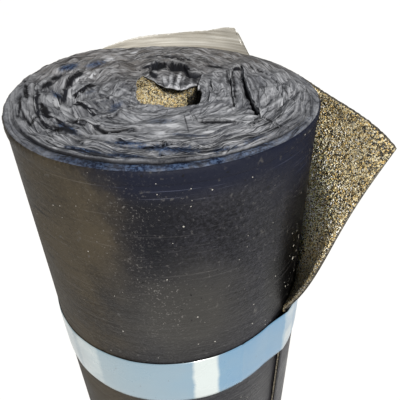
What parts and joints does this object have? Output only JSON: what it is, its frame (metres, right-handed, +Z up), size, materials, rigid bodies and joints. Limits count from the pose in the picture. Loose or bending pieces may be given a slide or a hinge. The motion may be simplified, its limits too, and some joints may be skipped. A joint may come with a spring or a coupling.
{
  "type": "roofing felt roll",
  "caption": "Roll of mineral-faced bitumen roofing felt standing on end, taped round, with one top corner sprung loose and thin film gathered over the top end.",
  "frame": {"origin": "on the roll's axis, at the face of its bottom end, on the floor", "axes": "+Z up along the roll's axis; +Y away from the picture's viewer; +X to the viewer's right, towards the loose corner"},
  "size_m": [0.2507, 0.2206, 1.0229],
  "materials": {
    "felt": "dark bitumen under a scuffed, semi-gloss polythene facing, with gold, grey and black mineral granules on the inner face",
    "film": "thin dark grey polythene film, crumpled, dusty and semi-gloss",
    "tape": "glossy pale blue adhesive tape, creased and faded in places"
  },
  "bodies": {
    "root": {"felt_roll": "felt", "end_film": "film", "tape_band": "tape"}
  },
  "joints": []
}
